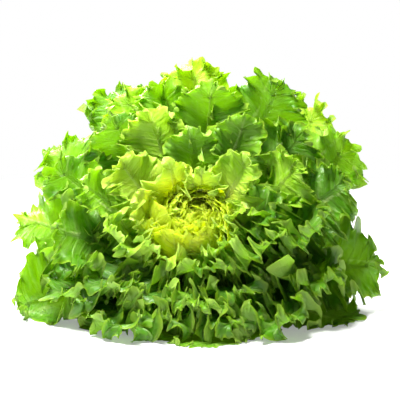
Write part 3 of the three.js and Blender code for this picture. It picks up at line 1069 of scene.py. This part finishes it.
class EscaroleLeafSettings(bpy.types.PropertyGroup):
    """Sizes of the frilled leaves."""

    seed: bpy.props.IntProperty(name="Seed", description="Picks another set of ruffles", default=3)
    outer_ruffle_length: length_property("Outer ruffle length", "One wave of an outer margin", 0.036)
    heart_ruffle_length: length_property("Heart ruffle length", "One wave of a heart margin", 0.020)
    ruffle_bend: angle_property("Ruffle bend", "Angle by which the blade turns up at a crest", 66)
    fullness: share_property("Fullness", "How far a ruffled margin still reaches, from 0 to 1", 0.7)
    cup: share_property("Cup", "How much more the ruffles turn up than down", 0.18)
    lobe_depth: length_property("Lobe depth", "Of the bays between lobes of an outer margin", 0.010)
    lobe_width: length_property("Lobe width", "Of a lobe on an outer margin", 0.015)
    overhang: share_property("Overhang", "How far crests lean over, in ruffle lengths", 0.12)
    tooth_length: length_property("Tooth length", "Of a tooth on an outer margin", 0.0075)
    tooth_width: length_property("Tooth width", "Of a tooth on an outer margin", 0.0042)
    lean_in: angle_property("Lean in", "Typical turn of half a blade, up or down from the midrib", 22)
    calm_turn: angle_property("Calm side", "Where ruffles are longest, clockwise from straight up", -55)
    tip_fold: share_property("Tip fold", "Typical bend of a tip, in or back, in leaf lengths", 0.09)
    twist: angle_property("Twist", "Most that a blade turns about its midrib", 20)
    sway: angle_property("Sway", "Most that a leaf strays to one side", 9)
    blade_thickness: length_property("Blade thickness", "Near the margin", 0.00045)
    rib_thickness: length_property("Rib thickness", "Added at the foot of the rib", 0.0035)
    pucker_height: length_property("Pucker height", "Of the blade between its veins", 0.0012)
    pucker_size: length_property("Pucker size", "From one pucker to the next", 0.016)


class EscaroleHeartSettings(bpy.types.PropertyGroup):
    """The curled leaflets in the middle of the heart."""

    count: bpy.props.IntProperty(name="Leaflets", description="How many there are", default=124)
    radius: length_property("Radius", "Of the tuft of leaflets", 0.030)
    lean: angle_property("Lean", "Of the outermost leaflets, away from the axis", 14)
    depth: length_property("Depth", "Of their feet, up the axis from the crown", 0.068)
    sink: length_property("Sink", "How much deeper the outermost ones stand", 0.010)
    crumple: length_property("Crumple", "How far the tuft is pushed out of shape", 0.007)


class EscaroleCrownSettings(bpy.types.PropertyGroup):
    """The cut crown and the scars of the leaves that were trimmed off it."""

    scar_count: bpy.props.IntProperty(name="Scars", description="Leaves trimmed off", default=11)
    scar_rise: length_property("Scar rise", "From one scar up to the next", 0.0011)
    grain_height: length_property("Grain height", "Roughness of the stem", 0.0012)


class EscaroleColours(bpy.types.PropertyGroup):
    """Colours of the leaves, from the blanched foot to the oldest green."""

    foot_colour: colour_property("Foot", "Ribs and stalks", (230, 240, 160))
    heart_colour: colour_property("Heart", "Blanched heart leaves", (238, 244, 44))
    young_colour: colour_property("Young", "Leaves next to the heart", (206, 232, 84))
    leaf_colour: colour_property("Leaf", "Most of the blade", (146, 200, 16))
    # The darkest green: partly the colour of old blades, and low down painted shade.
    deep_and_shaded_colour: colour_property("Old", "Oldest blades", (62, 124, 2))
    young_rim_colour: colour_property("Young rim", "The thin margin near the heart", (240, 246, 130))
    rim_colour: colour_property("Rim", "The thin margin", (188, 204, 40))
    underside_colour: colour_property("Underside", "Paler back of a blade", (188, 222, 96))
    young_glow: colour_property("Young glow", "Light through a blanched blade", (242, 248, 40))
    old_glow: colour_property("Old glow", "Light through a green blade", (188, 226, 56))


class EscaroleStageSettings(bpy.types.PropertyGroup):
    """The table, the light and the camera."""

    floor_colour: colour_property("Table", "The table top", (228, 228, 228))
    floor_glow: share_property("Table brightness", "Added to what the camera sees of the table", 0.3)
    camera_distance: length_property("Camera distance", "From the middle of the head", 1.3)
    camera_rise: angle_property("Camera rise", "Angle above the table", 10.5)
    aim_drop: length_property("Aim drop", "How far under the middle of the head the camera looks", 0.007)
    view_width: length_property("View width", "What the camera takes in at the head", 0.353)


class EscaroleSettings(bpy.types.PropertyGroup):
    """Everything that a user would change."""

    leaves: bpy.props.PointerProperty(type=EscaroleLeafSettings)
    heart: bpy.props.PointerProperty(type=EscaroleHeartSettings)
    crown: bpy.props.PointerProperty(type=EscaroleCrownSettings)
    colours: bpy.props.PointerProperty(type=EscaroleColours)
    stage: bpy.props.PointerProperty(type=EscaroleStageSettings)


# ---- Operators ----

# Columns along one margin and rows from the midrib out, for each group.
SHEET_SIZES = {"outer_leaf": (230, 9), "middle_leaf": (205, 9), "heart_leaf": (115, 8)}
HEART_DEPTH = 0.078  # up the axis from the middle of the crown to the middle of the heart
BLANCHED = (0.018, 0.066)  # how far from the line up to there leaves turn from pale to green
LOW_SHADE_HEIGHTS = (0.03, 0.12)  # the heights between which leaves are painted a darker, deeper green the lower they are: painted shade
LEAFLET_SHAPES = 6  # of the leaflets in the heart, which take turns
HEART_SEED = 4
LIGHTS = {  # place, width and power
    "key": ((-0.28, -0.3, 1.25), 0.45, 50.0),
    "back": ((-0.6, 0.8, 0.85), 0.6, 48.0),
}
LIGHT_TARGET = (0.0, 0.0, 0.1)
SURROUNDINGS = 0.09  # brightness of what is round the table, which the camera sees as plain white
TABLE_SIZE = 12.0


def greenness_and_low_shade(points, along, age):
    """How green a leaf is at each point: less near the line from the crown to the heart and on young leaves,
    and more low down, where the darker, deeper green is painted shade."""
    crown = crown_centre()
    depth = np.clip((points - crown) @ AXIS, 0, HEART_DEPTH)
    away = np.linalg.norm((points - crown - depth[:, None] * AXIS), axis=1)
    open_air = smoothstep(away, *BLANCHED)
    # Darker, deeper green low down: painted shade.
    painted_low_shade = 1 - smoothstep(points[:, 2], *LOW_SHADE_HEIGHTS)
    greenest = lerp(0.85, 0.7, smoothstep(age, 0.5, 1)) + 0.25 * painted_low_shade
    return lerp(0.25 * smoothstep(along, 0.05, 0.3), greenest, open_air * smoothstep(along, 0.05, 0.5))


def build_leaves(context, group_name):
    """Builds one group of leaves, each as a piece that stands for its solid."""
    settings = context.scene.escarole
    first = sum(list(LEAF_GROUPS.values())[:list(LEAF_GROUPS).index(group_name)])
    material = leaf_material(group_name, settings.colours, BLADE_GLOW)
    group = bpy.data.node_groups.get("leaf_thickness") or leaf_tree()
    pieces = []
    for number in range(1, LEAF_GROUPS[group_name] + 1):
        leaf = Leaf(first + number - 1)
        flat, lift, fields = ruffled_blade(leaf, settings.leaves, *SHEET_SIZES[group_name])
        points = place_on_cone(leaf, flat, lift, fields["edge"])
        points, faces, fields = stitch(points, fields)
        flat_x, flat_y = fields.pop("flat_x"), fields.pop("flat_y")
        fields["green"] = greenness_and_low_shade(points, fields["along"], leaf.age)
        fields["tone"] = np.full(len(points), variation(leaf.index, TONE_TRAIT))
        piece = mesh_object(f"frilled_{group_name}_{number:02d}", points, faces, fields)
        add_blade_map(piece, flat_x, flat_y)
        values = {
            "Blade Thickness": settings.leaves.blade_thickness,
            "Rib Thickness": settings.leaves.rib_thickness * lerp(0.4, 1, 1 - leaf.age),
            "Pucker Height": settings.leaves.pucker_height * lerp(0.5, 1, 1 - leaf.age),
            "Pucker Size": settings.leaves.pucker_size,
            "Seed": float(leaf.index),
            "Material": material,
        }
        add_modifier(piece, group, values)
        pieces.append(piece)
    make_plain(pieces)
    for number, piece in enumerate(pieces, 1):
        hand_over(piece, group_name, f"{group_name}_{number:02d}")


class ESCAROLE_OT_outer_leaves(bpy.types.Operator):
    """Build the long green outer leaves"""

    bl_idname = "escarole.outer_leaves"
    bl_label = "Outer leaves"

    def execute(self, context):
        build_leaves(context, "outer_leaf")
        return {"FINISHED"}


class ESCAROLE_OT_middle_leaves(bpy.types.Operator):
    """Build the shorter frilled leaves inside them"""

    bl_idname = "escarole.middle_leaves"
    bl_label = "Middle leaves"

    def execute(self, context):
        build_leaves(context, "middle_leaf")
        return {"FINISHED"}


class ESCAROLE_OT_heart_leaves(bpy.types.Operator):
    """Build the yellow leaves of the heart"""

    bl_idname = "escarole.heart_leaves"
    bl_label = "Heart leaves"

    def execute(self, context):
        build_leaves(context, "heart_leaf")
        return {"FINISHED"}


class ESCAROLE_OT_heart_curls(bpy.types.Operator):
    """Build the tuft of curled leaflets in the middle of the heart"""

    bl_idname = "escarole.heart_curls"
    bl_label = "Heart curls"

    def execute(self, context):
        settings = context.scene.escarole
        look = settings.heart
        material = leaf_material("heart_curls", settings.colours, HEART_GLOW)
        points, faces, fields = leaflets(settings.leaves, LEAFLET_SHAPES)
        flat_x, flat_y = fields.pop("flat_x"), fields.pop("flat_y")
        fields["green"] = 0.06 + 0.28 * fields["along"]
        fields["tone"] = np.zeros(len(points))
        piece = mesh_object("heart_curls", points, faces, fields)
        add_blade_map(piece, flat_x, flat_y)
        values = {
            "Count": look.count,
            "Turn": GOLDEN_ANGLE,
            "Radius": look.radius,
            "Lean": look.lean,
            "Sink": look.sink,
            "Place": (crown_centre() + AXIS * look.depth).tolist(),
            "Tilt": math.pi / 2 - AXIS_RISE,
            "Crumple": look.crumple,
            "Seed": HEART_SEED,
            "Blade Thickness": settings.leaves.blade_thickness,
            "Material": material,
        }
        group = bpy.data.node_groups.get("leaf_thickness") or leaf_tree()
        add_modifier(piece, heart_tree(group), values)
        make_plain([piece])
        hand_over(piece, "heart_leaf")
        return {"FINISHED"}


class ESCAROLE_OT_crown(bpy.types.Operator):
    """Finish the cut crown at the back"""

    bl_idname = "escarole.crown"
    bl_label = "Crown"

    def execute(self, context):
        look = context.scene.escarole
        material = crown_material()
        points, faces, fields = crown_body()
        piece = mesh_object("cut_crown", points, faces, fields)
        add_modifier(piece, crown_tree(), {"Grain Height": look.crown.grain_height, "Material": material})
        scars = mesh_object("leaf_scars", *scar_pad())
        values = {
            "Count": look.crown.scar_count,
            "Turn": GOLDEN_ANGLE,
            "Radius": CUT_RADIUS,
            "Start": -CUT_DEPTH + SCAR_START,
            "Rise": look.crown.scar_rise,
            "Place": crown_centre().tolist(),
            "Tilt": math.pi / 2 - AXIS_RISE,
            "Material": material,
        }
        add_modifier(scars, scar_tree(), values)
        make_plain([piece, scars])
        hand_over(piece, "crown", "crown")
        hand_over(scars, "crown")
        return {"FINISHED"}


class ESCAROLE_OT_stage(bpy.types.Operator):
    """Set the table, the lights and the camera"""

    bl_idname = "escarole.stage"
    bl_label = "Stage"

    def execute(self, context):
        look = context.scene.escarole.stage
        build_floor(look)
        build_lights()
        build_camera(look)
        return {"FINISHED"}


def build_floor(look):
    half = TABLE_SIZE / 2
    corners = np.array([[-half, -half, 0], [half, -half, 0], [half, half, 0], [-half, half, 0]])
    floor = mesh_object("table_top", corners, np.array([[0, 1, 2, 3]]), {})
    floor.data.materials.append(floor_material(look))


def area_light(name, place, size, power):
    data = bpy.data.lights.new(name, "AREA")
    data.shape = "DISK"
    data.size = size
    data.energy = power
    light = bpy.data.objects.new(name, data)
    light.location = place
    light.rotation_euler = (Vector(LIGHT_TARGET) - Vector(place)).to_track_quat("-Z", "Y").to_euler()
    bpy.context.scene.collection.objects.link(light)


def build_lights():
    for name, (place, size, power) in LIGHTS.items():
        area_light(name, place, size, power)
    world = bpy.data.worlds.new("studio")
    world.use_nodes = True
    tree = Tree(world.node_tree)
    path = tree.node("ShaderNodeLightPath", {}, {}, "Is Camera Ray")
    strength = SURROUNDINGS + path * (1 - SURROUNDINGS)
    light = tree.node("ShaderNodeBackground", {}, {"Color": (1, 1, 1, 1), "Strength": strength})
    tree.node("ShaderNodeOutputWorld", {}, {"Surface": light})
    bpy.context.scene.world = world


def build_camera(look):
    low, high = (Vector(corner) for corner in cad_box)
    middle = (low + high) / 2
    rise = look.camera_rise
    away = Vector((0, -math.cos(rise), math.sin(rise)))
    data = bpy.data.cameras.new("camera")
    data.sensor_width = 36.0
    data.lens = data.sensor_width * look.camera_distance / look.view_width
    middle.z -= look.aim_drop
    camera = bpy.data.objects.new("camera", data)
    camera.location = middle + away * look.camera_distance
    camera.rotation_euler = (-away).to_track_quat("-Z", "Y").to_euler()
    bpy.context.scene.collection.objects.link(camera)
    bpy.context.scene.camera = camera


class ESCAROLE_PT_panel(bpy.types.Panel):
    """List the operators and the settings"""

    bl_idname = "ESCAROLE_PT_panel"
    bl_label = "Escarole"
    bl_space_type = "VIEW_3D"
    bl_region_type = "UI"
    bl_category = "Escarole"

    def draw(self, context):
        layout = self.layout
        for operator in OPERATORS:
            layout.operator(operator.bl_idname)
        settings = context.scene.escarole
        for group in (settings.leaves, settings.heart, settings.crown, settings.colours, settings.stage):
            box = layout.box()
            for name in group.__annotations__:
                box.prop(group, name)


OPERATORS = (
    ESCAROLE_OT_outer_leaves,
    ESCAROLE_OT_middle_leaves,
    ESCAROLE_OT_heart_leaves,
    ESCAROLE_OT_heart_curls,
    ESCAROLE_OT_crown,
    ESCAROLE_OT_stage,
)
CLASSES = (
    EscaroleLeafSettings,
    EscaroleHeartSettings,
    EscaroleCrownSettings,
    EscaroleColours,
    EscaroleStageSettings,
    EscaroleSettings,
    *OPERATORS,
    ESCAROLE_PT_panel,
)


def register():
    for cls in CLASSES:
        bpy.utils.register_class(cls)
    bpy.types.Scene.escarole = bpy.props.PointerProperty(type=EscaroleSettings)


def unregister():
    del bpy.types.Scene.escarole
    for cls in reversed(CLASSES):
        bpy.utils.unregister_class(cls)


def main():
    register()
    bpy.ops.escarole.outer_leaves()
    bpy.ops.escarole.middle_leaves()
    bpy.ops.escarole.heart_leaves()
    bpy.ops.escarole.heart_curls()
    bpy.ops.escarole.crown()
    bpy.ops.escarole.stage()
    bpy.context.scene.view_settings.view_transform = "Standard"


if __name__ == "__main__":
    main()
